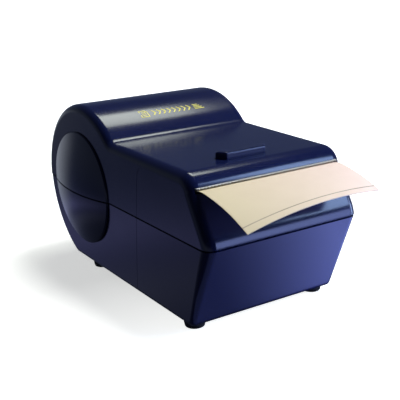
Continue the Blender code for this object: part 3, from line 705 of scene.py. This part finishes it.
def make_emblem():
    """Gold print on the drum: a generic sheet pictogram, feed chevrons and a stack of bars."""
    left, width, size, stroke, fold = -16.5, 4.8, 5.4, 0.45, 1.4
    right, low, high = left + width, -size / 2, size / 2
    margin, text_stroke, small = 1.1, 0.4, 0.7
    chevrons, chevron_left, chevron_pitch, chevron_depth, chevron_stroke = 8, -9.5, 3.0, 1.6, 0.8
    bars, bar_left, bar_right, bar_pitch, bar_step, bar_stroke = 4, 15.8, 21.5, 1.15, 0.9, 0.5
    shapes = [rectangle(left, low, right, low + stroke),
              rectangle(left, low + stroke, left + stroke, high),
              rectangle(left + stroke, high - stroke, right - fold, high),
              rectangle(right - stroke, low + stroke, right, high - fold),
              [(right - fold, high), (right - fold, high - fold), (right, high - fold)]]
    for up in (-1.35, -0.25, 0.85):
        shapes.append(rectangle(left + margin, up, right - margin, up + text_stroke))
    for i in range(chevrons):
        start = chevron_left + chevron_pitch * i
        end, tip = start + chevron_stroke, start + chevron_depth
        far = tip + chevron_stroke
        shapes.append([(start, low + small), (end, low + small), (far, 0), (tip, 0)])
        shapes.append([(tip, 0), (far, 0), (end, high - small), (start, high - small)])
    for i in range(bars):
        up = low + small + bar_pitch * i
        shapes.append(rectangle(bar_left, up, bar_right - bar_step * i, up + bar_stroke))
    whole = bmesh.new()
    for shape in shapes:
        part = drum_patch(shape)
        mesh = bpy.data.meshes.new("part")
        part.to_mesh(mesh)
        part.free()
        whole.from_mesh(mesh)
        bpy.data.meshes.remove(mesh)
    emblem = make_object("gold_emblem", whole, GOLD)
    stand_for(emblem, "lid", "shell")


# ---------------------------------------------------------------- paper
def along(path, distance):
    """Point at a distance along a path of (y, z) points."""
    for first, second in zip(path, path[1:]):
        step = Vector(second) - Vector(first)
        if distance <= step.length or second == path[-1]:
            return Vector(first) + step * distance / step.length
        distance -= step.length
    return Vector(path[-1])


def rounded_path(path):
    """Cut a path's corners until it is smooth; its ends stay."""
    points = [Vector(p) for p in path]
    for _ in range(3):
        new = [points[0]]
        for a, b in zip(points, points[1:]):
            new += [a * 0.75 + b * 0.25, a * 0.25 + b * 0.75]
        points = new + [points[-1]]
    return [tuple(p) for p in points]


def paper_sheet(path, skew, droop, steps, columns, span=(0.0, 1.0), lifts=(-PAPER / 2, PAPER / 2)):
    """A sheet of the notes' width along a path, with a slanted end that droops at its corners."""
    length = sum((Vector(b) - Vector(a)).length for a, b in zip(path, path[1:]))
    bm = bmesh.new()
    layers = []
    for lift in lifts:
        rows = []
        for i in range(steps + 1):
            share = span[0] + (span[1] - span[0]) * i / steps
            row = []
            for k in range(columns + 1):
                across = 2 * k / columns - 1
                y, z = along(path, (length - skew * (across + 1) / 2) * share)
                free = max(0.0, (share - STRIP_FREE) / (1 - STRIP_FREE))
                fall = droop * across ** 2 * free ** 1.5
                row.append(bm.verts.new((across * NOTE_HALF, y, z - fall + lift)))
            rows.append(row)
        layers.append(rows)
    for rows in layers:
        for a, b in zip(rows, rows[1:]):
            for k in range(columns):
                bm.faces.new((a[k], a[k + 1], b[k + 1], b[k]))
    rims = []
    for rows in layers:
        first, last = rows[0], rows[-1]
        right = [row[-1] for row in rows]
        left = [row[0] for row in rows]
        rims.append(first + right[1:] + last[-2::-1] + left[-2:0:-1])
    for k in range(len(rims[0])):
        j = (k + 1) % len(rims[0])
        bm.faces.new((rims[0][k], rims[0][j], rims[1][j], rims[1][k]))
    return bm


def make_paper():
    route = rounded_path(STRIP)
    sheet = paper_sheet(route, STRIP_SKEW, STRIP_DROOP, 72, 40)
    strip = make_object("paper_strip", sheet, LOOKS["note_paper"])
    stand_for(strip, "lid", "note_paper", "note_strip")
    # Painted shade: a thin dark strip across the sheet near its end stands for the shade where the paper
    # folds.
    lifts = (0.05, PAPER / 2 + 0.03)
    fold_shade = paper_sheet(route, STRIP_SKEW, STRIP_DROOP, 2, 40, FOLD_SHADE_SPAN, lifts)
    stand_for(make_object("painted_fold_shade_strip", fold_shade, FOLD_SHADE), "lid", "note_paper")
    centre = (ROLL_Y, ROLL_Z)
    paper = tube(centre, ROLL_R, CORE_R + GAP, -NOTE_HALF, NOTE_HALF, 128, 0.25)
    roll = make_object("paper_roll", paper, ROLL_ENDS)
    stand_for(roll, "roll", "note_paper", "note_roll")
    board = tube(centre, CORE_R, CORE_BORE, -NOTE_HALF, NOTE_HALF, 96, 0.2)
    core = make_object("core_tube", board, LOOKS["core_board"])
    stand_for(core, "roll", "core_board", "roll_core")
    bar = rod(centre, SPINDLE_R, -SPINDLE_HALF, SPINDLE_HALF, 48, 0.8)
    spindle = make_object("spindle_bar", bar, LOOKS["white_plastic"])
    stand_for(spindle, "roll", "white_plastic", "roll_spindle")
    for name, side in (("left", -1), ("right", 1)):
        stand_for(make_hub(name, side), "roll", "white_plastic", f"roll_hub_{name}")


def make_hub(name, side):
    """Spool end: a plug for the core with five pockets, which leave a rim, a sleeve and spokes."""
    centre = (ROLL_Y, ROLL_Z)
    inner_end, outer_end, pocket_floor = 24.0, 38.0, 26.5
    pockets, first, opening, outer_r, inner_r = 5, 12, 48, 10.8, 6.6
    low, high = sorted((side * inner_end, side * outer_end))
    plug = tube(centre, CORE_BORE - GAP, SPINDLE_R + GAP, low, high, 72, 0.4)
    hub = make_object(f"spool_hub_{name}", plug, LOOKS["white_plastic"])
    for i in range(pockets):
        start = 360 / pockets * i + first
        end = start + opening
        outline = arc(*centre, outer_r, start, end, 8) + arc(*centre, inner_r, end, start, 8)
        ends = sorted((side * pocket_floor, side * (outer_end + 2)))
        combine(hub, "DIFFERENCE", helper(prism(outline, *ends)))
    settle(hub)
    return hub


def make_web():
    """Straight run of paper from the top of the roll to the top of the drive roller."""
    drive_r = DRIVE_R + GAP + PAPER / 2
    roll_r = ROLL_R + GAP + PAPER / 2
    apart = Vector((ROLL_Y - DRIVE_Y, ROLL_Z - DRIVE_Z))
    lean = math.asin((roll_r - drive_r) / apart.length) + math.atan2(apart.y, apart.x)
    normal = Vector((-math.sin(lean), math.cos(lean)))
    start = Vector((ROLL_Y, ROLL_Z)) + normal * roll_r
    end = Vector((DRIVE_Y, DRIVE_Z)) + normal * drive_r
    end += (start - end) * 0.006
    sheet = paper_sheet([tuple(start), tuple(end)], 0, 0, 40, 20)
    web = make_object("paper_web", sheet, LOOKS["note_paper"])
    stand_for(web, "base", "note_paper", "note_web")


def make_blade():
    """Serrated strip under the lip of the lid, with bevelled teeth."""
    teeth, tooth_depth, bevel = 44, 0.9, 0.35
    rings = []
    for z, back in ((BLADE_LOW, bevel), (BLADE_LOW + 0.2, 0.0), (BLADE_HIGH, 0.0)):
        outline = [(BLADE_HALF, BLADE_REAR), (-BLADE_HALF, BLADE_REAR)]
        for i in range(2 * teeth + 1):
            x = -BLADE_HALF + i * BLADE_HALF / teeth
            outline.append((x, BLADE_FRONT + back + (tooth_depth if i % 2 == 0 else 0.0)))
        rings.append([(x, y, z) for x, y in outline])
    blade = make_object("serrated_edge", loft(rings), LOOKS["white_plastic"])
    stand_for(blade, "lid", "white_plastic", "tear_blade")


# ---------------------------------------------------------------- small parts
def make_button():
    """Push bar with rounded corners and a softly rounded top edge."""
    edge = 1.0
    flange_top = FLANGE_Z + FLANGE_T
    sizes = [(FLANGE_Z, FLANGE_EDGE, 0.6), (flange_top, FLANGE_EDGE, 0.6), (flange_top, 0, 1.0)]
    for i in range(7):
        angle = math.pi / 2 * i / 6
        sizes.append((BUTTON_TOP - edge + edge * math.sin(angle), -edge * (1 - math.cos(angle)), 1.0))
    rings = [[(x, y, z) for x, y in bar_outline(grow, radius)] for z, grow, radius in sizes]
    bar = make_object("push_bar", loft(rings), LOOKS["button"], 40)
    even_normals(bar)
    stand_for(bar, "button", "button", "button_cap")


def make_feet():
    """Round rubber feet, a little narrower where they touch the table."""
    height = BOTTOM_Z - GAP
    profile = [(0.0, 4.0), (0.15, 4.4), (0.5, 4.65), (height - 0.4, 5.0), (height, 4.9)]
    turns = [a * math.pi / 24 for a in range(48)]
    for side_name, x in (("left", -FOOT_X), ("right", FOOT_X)):
        for end_name, y in FOOT_Y.items():
            rings = [[(x + r * math.cos(a), y + r * math.sin(a), z) for a in turns] for z, r in profile]
            foot = make_object(f"rubber_foot_{end_name}_{side_name}", loft(rings), LOOKS["rubber"], 50)
            stand_for(foot, "base", "rubber", f"foot_{end_name}_{side_name}")


def make_rollers():
    """Rubber rollers with fine grip rings."""
    half, bore, count, groove = 27.4, 1.8, 36, 0.18
    profile = []
    for i in range(count + 1):
        profile.append((-half + 2 * half * i / count, DRIVE_R if i % 2 else DRIVE_R - groove))
    closed = profile + [(half, bore), (-half, bore)]
    drive_centre, pinch_centre = (DRIVE_Y, DRIVE_Z), (PINCH_Y, PINCH_Z)
    drive = make_object("feed_roller", turned(drive_centre, closed, 72, True), LOOKS["rubber"])
    stand_for(drive, "drive", "rubber", "drive_roller")
    sleeve = tube(pinch_centre, PINCH_R, 1.5, -12.6, 12.6, 64, 0.4)
    pinch = make_object("press_roller", sleeve, LOOKS["rubber"])
    stand_for(pinch, "pinch", "rubber", "pinch_roller")
    shaft = make_object("feed_shaft", rod(drive_centre, 1.5, -31.5, 34.2, 32, 0.25), LOOKS["steel"])
    stand_for(shaft, "drive", "steel", "drive_shaft")
    axle = make_object("press_shaft", rod(pinch_centre, 1.2, -16.4, 16.4, 32, 0.2), LOOKS["steel"])
    stand_for(axle, "pinch", "steel", "pinch_shaft")
    pin = make_object("lid_pin", hinge_rod(HINGE_PIN_R, -22.0, 22.0), LOOKS["steel"])
    stand_for(pin, "base", "steel", "hinge_pin")


def make_cells():
    """Four cells side by side, each the other way round from the last."""
    for i in range(4):
        side = 1 if i % 2 else -1
        centre = (CELL_Y + i * CELL_PITCH, CELL_Z)
        tip = side * (CONTACT_X - GAP)
        shoulder = tip - side * 1.2
        tail = tip - side * CELL_LENGTH
        profile = [(tail, CELL_R - 0.8), (tail + side * 0.15, CELL_R - 0.25), (tail + side * 0.5, CELL_R),
                   (shoulder - side * 0.5, CELL_R), (shoulder - side * 0.12, CELL_R - 0.3),
                   (shoulder, CELL_R - 0.9), (shoulder, 2.7), (tip - side * 0.2, 2.7), (tip, 2.4)]
        cell = make_object(f"cell_{i + 1}", turned(centre, profile, 56), LOOKS["cell_wrap"])
        stand_for(cell, "base", "cell_wrap", f"battery_{i + 1}")


# ---------------------------------------------------------------- carried-over nodes
KEPT = {
    "shell": ["battery_door"],
    "black_plastic": ["switch_body", "battery_box"],
    "red_plastic": ["switch_plunger"],
    "white_plastic": ["motor_end_cap", "drive_gear", "second_gear", "first_gear"],
    "steel": ["feed_plate_left", "feed_plate_right", "feed_crossbar", "pinch_bracket", "motor_case",
              "motor_shaft", "first_gear_axle", "second_gear_axle"],
    "screw_steel": ["motor_screw_front", "motor_screw_rear"],
    "brass": ["shaft_bush_left", "shaft_bush_right", "motor_pinion"],
    "circuit_board": ["control_board", "switch_board"],
    "capacitor_sleeve": ["capacitor"],
    "red_lead": ["motor_lead_red"],
    "black_lead": ["motor_lead_black"],
    "contact_metal": ["contact_left_front", "contact_left_rear", "contact_right_front",
                      "contact_right_middle", "contact_right_rear", "battery_spring_1",
                      "battery_spring_2", "battery_spring_3", "battery_spring_4"],
}
EASED = {"battery_door": 0.4, "switch_body": 0.2, "feed_plate_left": 0.2, "feed_plate_right": 0.2,
         "feed_crossbar": 0.3, "motor_case": 0.5, "motor_end_cap": 0.3, "battery_box": 0.4,
         "control_board": 0.1, "switch_board": 0.1, "capacitor": 0.4}


def keep_nodes():
    """CAD nodes that stay get the finish of their slot, and eased edges where they are boxy."""
    for slot, name in ((slot, name) for slot, names in KEPT.items() for name in names):
        node = frame["nodes"][name]
        if not node.data.materials:
            node.data.materials.append(None)
        for place in node.material_slots:
            place.material = LOOKS[slot]
        if name in EASED:
            weld = node.modifiers.new("joined_edges", "WELD")
            weld.merge_threshold = 1e-6
            ease_edges(node, EASED[name])


# ---------------------------------------------------------------- stage
def direction(azimuth, elevation):
    """Unit vector; azimuth 0 points along -Y and 90 along +X."""
    a, e = math.radians(azimuth), math.radians(elevation)
    return Vector((math.sin(a) * math.cos(e), -math.cos(a) * math.cos(e), math.sin(e)))


def make_camera():
    """Camera that looks at the body's middle, turned about its own axis and shifted to fit the frame."""
    azimuth, elevation, roll, distance = -32.216, 17.063, math.radians(-1.96), 422.54
    target, shift_across, shift_rise = Vector((0, 82.5 - MIDDLE_Y, 40)), 6.318, -0.967
    focal_in_frames = 811.772 / 400
    back = direction(azimuth, elevation)
    right = (-back).cross(Vector((0, 0, 1))).normalized()
    up = right.cross(-back)
    across = right * math.cos(roll) + up * math.sin(roll)
    rise = up * math.cos(roll) - right * math.sin(roll)
    spot = target + back * distance + across * shift_across + rise * shift_rise
    data = bpy.data.cameras.new("camera")
    data.sensor_width = 36
    data.lens = focal_in_frames * data.sensor_width
    data.clip_start, data.clip_end = 0.01, 200
    camera = bpy.data.objects.new("camera", data)
    turn = Matrix((across, rise, back)).transposed().to_4x4()
    camera.matrix_world = Matrix.Translation(spot * MM) @ turn
    bpy.context.scene.collection.objects.link(camera)
    bpy.context.scene.camera = camera


def stage_mesh(name, points, faces, material):
    """Floor, wall or card that isn't part of the object, from points in metres."""
    mesh = bpy.data.meshes.new(name)
    mesh.from_pydata(points, [], faces)
    mesh.materials.append(material)
    obj = bpy.data.objects.new(name, mesh)
    bpy.context.scene.collection.objects.link(obj)
    return obj


def only_seen(obj):
    """The object shows to the camera, but sends no light to the others."""
    obj.visible_glossy = False
    obj.visible_diffuse = False
    obj.visible_transmission = False


def make_floor():
    """Pale floor, with painted light that makes it glow brighter in front of the machine, and a plain
    wall of the same tone far away all round.
    """
    size, height = 8.0, 12.0
    corners = rectangle(-size, -size, size, size)
    low = [(x, y, FLOOR_Z) for x, y in corners]
    high = [(x, y, height) for x, y in corners]
    material, tree, shader = new_material("pale_floor")
    shader.inputs["Base Color"].default_value = (0.80, 0.80, 0.79, 1)
    shader.inputs["Roughness"].default_value = 1.0
    shader.inputs["Specular IOR Level"].default_value = 0.0
    shader.inputs["Emission Color"].default_value = (0.99, 1.0, 0.985, 1)
    # Painted light: the floor's glow is stronger in front of the machine than beside and behind it,
    # filling the shade there.
    glow = spread(tree, separate(tree, local_position(tree))["Y"], 0.92, 0.60, -0.05, 0.03)
    link(tree, glow, shader.inputs["Emission Strength"])
    only_seen(stage_mesh("floor", low, [(0, 1, 2, 3)], material))
    material, tree, shader = new_material("pale_backdrop")
    shader.inputs["Base Color"].default_value = (0, 0, 0, 1)
    shader.inputs["Specular IOR Level"].default_value = 0.0
    shader.inputs["Emission Color"].default_value = (0.99, 1.0, 0.985, 1)
    shader.inputs["Emission Strength"].default_value = 1.15
    walls = [(i, (i + 1) % 4, 4 + (i + 1) % 4, 4 + i) for i in range(4)]
    wall = stage_mesh("backdrop", low + high, walls, material)
    wall.visible_shadow = False
    only_seen(wall)


def area_light(name, spot, size, radiance, colour, aim=None):
    """Soft panel at a place in millimetres; it looks down, or at a point if one is given."""
    data = bpy.data.lights.new(name, "AREA")
    data.shape = "RECTANGLE"
    data.size, data.size_y = (side * MM for side in size)
    data.energy = radiance * math.pi * size[0] * size[1] * MM ** 2
    data.color = colour
    lamp = bpy.data.objects.new(name, data)
    lamp.location = Vector(spot) * MM
    if aim:
        lamp.rotation_mode = "QUATERNION"
        lamp.rotation_quaternion = (Vector(spot) - Vector(aim)).to_track_quat("Z", "Y")
    lamp.visible_camera = False
    bpy.context.scene.collection.objects.link(lamp)
    return lamp


def make_lights():
    """A panel overhead, four in front and to the right, and two that only soften the shadows."""
    area_light("ceiling_panel", (745, 690, 1780), (690, 830), 7.2, (0.94, 1.0, 0.90))
    distance = 700
    middle, nose, corner = Vector((0, 0, 50)), Vector((0, -60, 64)), Vector((40, -70, 48))
    spot = direction(57, 15) * distance + middle
    wash = area_light("front_wash", spot, (400, 640), 8.0, (0.55, 0.68, 1.0), middle)
    wash.visible_glossy = False
    low_middle = (0, 0, 40)
    spot = direction(33, 2) * distance + Vector(low_middle)
    area_light("low_front_panel", spot, (300, 200), 6.0, (0.36, 0.46, 1.0), low_middle)
    spot = direction(47, 30) * distance + nose
    panel = area_light("nose_panel", spot, (170, 300), 9.7, (0.41, 0.59, 1.0), nose)
    panel.visible_diffuse = False
    spot = direction(66, 4) * distance + corner
    panel = area_light("corner_panel", spot, (240, 340), 10.5, (0.45, 0.60, 1.0), corner)
    panel.visible_diffuse = False
    diffuse_sun("floor_fill", 2.7, 28, direction(75, 62))
    diffuse_sun("rear_fill", 1.1, 12, direction(176, 1))


def diffuse_sun(name, strength, softness, towards):
    """Distant light from a direction, which leaves no highlights."""
    data = bpy.data.lights.new(name, "SUN")
    data.energy = strength
    data.angle = math.radians(softness)
    lamp = bpy.data.objects.new(name, data)
    lamp.rotation_mode = "QUATERNION"
    lamp.rotation_quaternion = towards.to_track_quat("Z", "Y")
    lamp.visible_glossy = False
    bpy.context.scene.collection.objects.link(lamp)


def make_bounce():
    """Glow of the lit floor in front of the machine, brighter to the right; only its light shows."""
    material = bpy.data.materials.new("bounce")
    material.use_nodes = True
    tree = material.node_tree
    tree.nodes.clear()
    output = tree.nodes.new("ShaderNodeOutputMaterial")
    glow = tree.nodes.new("ShaderNodeEmission")
    split = separate(tree, local_position(tree))
    across = spread(tree, split["X"], 0.0, 1.0, -20 * MM, 62 * MM)
    rise = spread(tree, math_node(tree, "POWER", across, 1.5), 0.10, 1.0, 0.0, 1.0)
    fade = spread(tree, split["X"], 1.0, 0.0, 110 * MM, 148 * MM)
    rear = spread(tree, split["Y"], 1.0, 1.05, -82 * MM, -60 * MM)
    front = spread(tree, split["Y"], 0.0, 1.0, -188 * MM, -120 * MM)
    total = math_node(tree, "MULTIPLY", math_node(tree, "MULTIPLY", rise, fade),
                      math_node(tree, "MULTIPLY", rear, front))
    link(tree, math_node(tree, "MULTIPLY", total, 3.6), glow.inputs["Strength"])
    glow.inputs["Color"].default_value = (0.30, 0.37, 1.0, 1)
    link(tree, glow.outputs[0], output.inputs["Surface"])
    low, high = Vector((-60, -190, 0.5)) * MM, Vector((150, -57, 0.5)) * MM
    points = [(x, y, low.z) for x, y in rectangle(low.x, low.y, high.x, high.y)]
    card = stage_mesh("bounce", points, [(0, 1, 2, 3)], material)
    card.visible_camera = False
    card.visible_shadow = False


def ramp(tree, value, stops):
    """Colour ramp over a value; stops are (position, colour)."""
    node = tree.nodes.new("ShaderNodeValToRGB")
    points = node.color_ramp.elements
    for i, (position, colour) in enumerate(stops):
        point = points[i] if i < 2 else points.new(position)
        point.position = position
        point.color = (*colour, 1)
    link(tree, value, node.inputs["Fac"])
    return node.outputs["Color"]


def make_world():
    """Dim studio round the object: dark in front, faint low on the left, with a glow low down behind."""
    world = bpy.data.worlds.new("studio")
    world.use_nodes = True
    tree = world.node_tree
    background = tree.nodes["Background"]
    coordinates = tree.nodes.new("ShaderNodeTexCoord")
    towards = separate(tree, coordinates.outputs["Generated"])
    height = spread(tree, towards["Z"], 0.0, 1.0, -1.0, 1.0)
    behind = ramp(tree, height, [(0.20, (0.03, 0.035, 0.06)), (0.265, (0.06, 0.07, 0.13)),
                                 (0.29, (0.15, 0.165, 0.27)), (0.31, (0.07, 0.078, 0.21)),
                                 (0.325, (0.25, 0.26, 0.60)), (0.345, (0.12, 0.135, 0.30)),
                                 (0.37, (0.06, 0.075, 0.165)), (0.50, (0.10, 0.12, 0.19)),
                                 (0.62, (0.08, 0.10, 0.15)), (0.72, (0.035, 0.04, 0.07)),
                                 (1.0, (0.03, 0.035, 0.06))])
    front = ramp(tree, height, [(0.0, (0.03, 0.035, 0.06)), (0.5, (0.012, 0.013, 0.02)),
                                (1.0, (0.03, 0.035, 0.05))])
    low_left = ramp(tree, height, [(0.31, (0.02, 0.022, 0.04)), (0.36, (0.11, 0.125, 0.20)),
                                   (0.44, (0.17, 0.19, 0.28)), (0.50, (0.05, 0.055, 0.08)),
                                   (0.55, (0.012, 0.013, 0.02))])
    front = mix(tree, spread(tree, towards["X"], 1.0, 0.0, -0.5, 0.0), front, low_left)
    rear = spread(tree, towards["Y"], 0.0, 1.0, -0.1, 0.6)
    straight = spread(tree, towards["Y"], 0.0, 1.0, 0.90, 0.985)
    low = spread(tree, towards["Z"], 1.0, 0.0, -0.05, 0.10)
    glow = math_node(tree, "MULTIPLY", straight, low)
    around = mix(tree, rear, front, behind)
    link(tree, mix(tree, glow, around, (0.50, 0.55, 0.66)), background.inputs["Color"])
    bpy.context.scene.world = world


# ---------------------------------------------------------------- build
bpy.context.scene.view_settings.view_transform = "Standard"
make_camera()
make_world()
make_floor()
make_lights()
make_bounce()

reveal = seam_reveal()
shared_cuts = [reveal, *cheek_grooves(), panel_line(-1), panel_line(1)]
make_upper_case(shared_cuts)
make_lower_case(shared_cuts)
make_emblem()
make_paper()
make_web()
make_blade()
make_button()
make_feet()
make_rollers()
make_cells()
drop_helpers()
keep_nodes()
